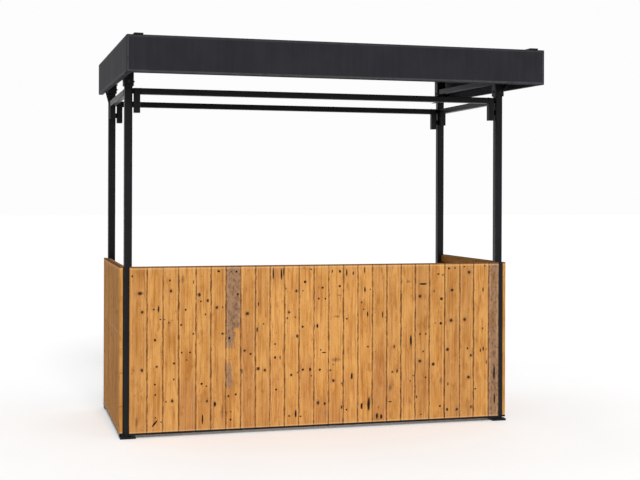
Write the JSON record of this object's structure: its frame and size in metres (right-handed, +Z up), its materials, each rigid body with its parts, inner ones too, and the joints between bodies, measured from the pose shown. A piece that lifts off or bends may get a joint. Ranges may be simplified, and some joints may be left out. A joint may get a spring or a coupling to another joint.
{
  "type": "market stall with a steel frame, plank counter and flat roof",
  "caption": "Open market stall: black square-tube frame, upright pine board counter on three sides and a flat roof in a folded sheet fascia.",
  "frame": {"origin": "on the ground, below the middle of the roof", "axes": "+X to the right seen from the customers' side, +Y towards the open rear, +Z up; the serving front faces -Y"},
  "size_m": [2.692, 1.98, 2.54],
  "materials": {
    "frame_steel": "black powder coat, satin, lightly rubbed along the edges",
    "roof_steel": "anthracite powder-coated sheet, satin",
    "pine_boards": "oiled reclaimed pine with knots, nail holes and stains",
    "batten_pine": "plain sawn pine"
  },
  "bodies": {
    "root": {"post_front_left": "frame_steel", "post_front_right": "frame_steel", "post_rear_left": "frame_steel", "post_rear_right": "frame_steel", "foot_plate_front_left": "frame_steel", "foot_plate_front_right": "frame_steel", "foot_plate_rear_left": "frame_steel", "foot_plate_rear_right": "frame_steel", "base_rail_front": "frame_steel", "base_rail_left": "frame_steel", "base_rail_right": "frame_steel", "front_panel": "pine_boards", "left_panel": "pine_boards", "right_panel": "pine_boards", "front_battens": "batten_pine", "left_battens": "batten_pine", "right_battens": "batten_pine", "front_beam": "frame_steel", "rear_beam": "frame_steel", "left_beam": "frame_steel", "right_beam": "frame_steel", "front_beam_bracket_left": "frame_steel", "front_beam_bracket_right": "frame_steel", "rear_beam_bracket_left": "frame_steel", "rear_beam_bracket_right": "frame_steel", "left_beam_bracket_front": "frame_steel", "left_beam_bracket_rear": "frame_steel", "right_beam_bracket_front": "frame_steel", "right_beam_bracket_rear": "frame_steel", "collar_front_left": "frame_steel", "collar_front_right": "frame_steel", "collar_rear_left": "frame_steel", "collar_rear_right": "frame_steel", "roof_rail_left": "frame_steel", "roof_rail_right": "frame_steel", "purlin_front": "frame_steel", "purlin_middle": "frame_steel", "purlin_rear": "frame_steel", "purlin_rear_edge": "frame_steel", "roof_sheet": "roof_steel", "fascia_front": "roof_steel", "fascia_left": "roof_steel", "fascia_right": "roof_steel", "clamp_strip_left": "roof_steel", "clamp_strip_right": "roof_steel"}
  },
  "joints": []
}
